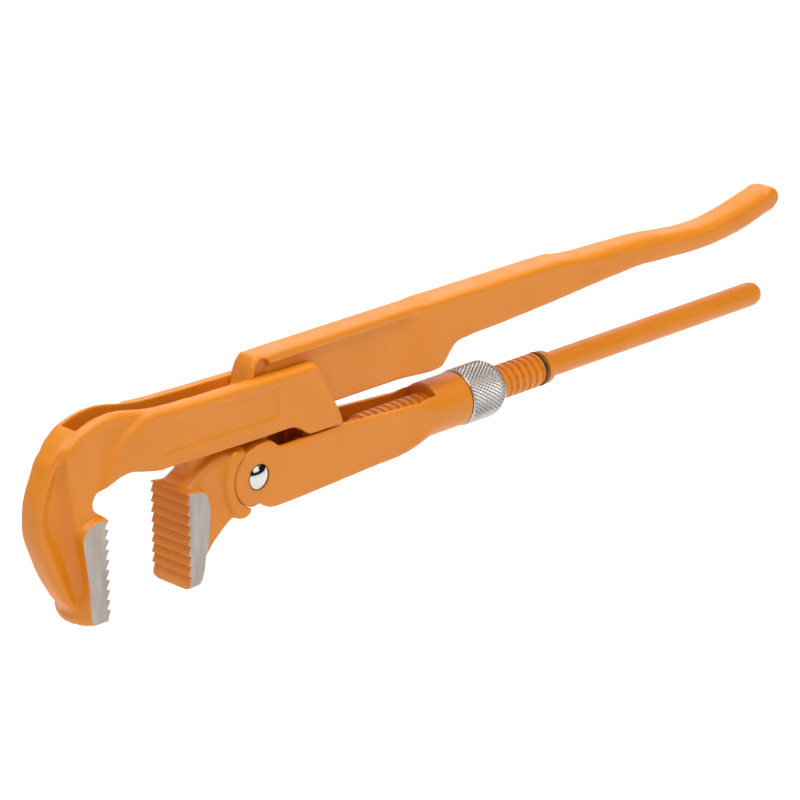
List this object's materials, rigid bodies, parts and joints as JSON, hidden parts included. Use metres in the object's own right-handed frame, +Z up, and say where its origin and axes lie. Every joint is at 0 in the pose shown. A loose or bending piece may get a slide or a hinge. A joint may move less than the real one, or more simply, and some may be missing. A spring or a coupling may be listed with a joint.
{
  "type": "swedish pattern pipe wrench",
  "caption": "Pipe wrench with hooked upper jaw, toothed lower jaw on a long handle, and a threaded rod handle set by a knurled nut in a riveted sleeve.",
  "frame": {"origin": "middle of the whole wrench's box at rest, at its lowest point, which is the hook jaw's tip", "axes": "+X along the threaded rod from the jaws to the handles, +Z up from the jaw tips to the long handle, Y across the wrench's thickness"},
  "size_m": [0.3296, 0.0186, 0.0653],
  "materials": {
    "orange_paint": "satin powder coat over a forged surface",
    "ground_steel": "ground bare steel",
    "polished_steel": "polished",
    "nut_plating": "satin plating over a diamond knurl",
    "dark_steel": "blackened spring wire"
  },
  "bodies": {
    "long_handle": {"long_handle": "orange_paint"},
    "sleeve": {"sleeve": "orange_paint", "jaw_rivet": "polished_steel"},
    "short_handle": {"short_handle": "orange_paint", "coupling_pin": "ground_steel", "retaining_ring": "dark_steel"},
    "adjusting_nut": {"adjusting_nut": "nut_plating"},
    "hook_jaw": {"hook_jaw": "orange_paint"}
  },
  "joints": [
    {"name": "handle_squeeze", "type": "hinge", "parent": "long_handle", "child": "sleeve", "pos_m": [-0.08115, 0, 0.0285], "axis": [0, -1, 0], "range_deg": [-18, 2]},
    {"name": "jaw_adjust", "type": "slide", "parent": "sleeve", "child": "short_handle", "axis": [1, 0, 0], "range_m": [-0.011, 0.0295]},
    {"name": "nut_spin", "type": "hinge", "parent": "sleeve", "child": "adjusting_nut", "pos_m": [0.02, 0, 0.0276], "axis": [-1, 0, 0], "range_deg": [-1321, 3541]},
    {"name": "hook_pivot", "type": "hinge", "parent": "short_handle", "child": "hook_jaw", "pos_m": [-0.05385, 0, 0.0276], "axis": [0, -1, 0], "range_deg": [-0.3, 2.2]}
  ],
  "couplings": [
    {"joint": "nut_spin", "follows": "jaw_adjust", "rad_per_m": 2094.4},
    {"joint": "hook_pivot", "follows": "handle_squeeze", "ratio": -0.12}
  ]
}
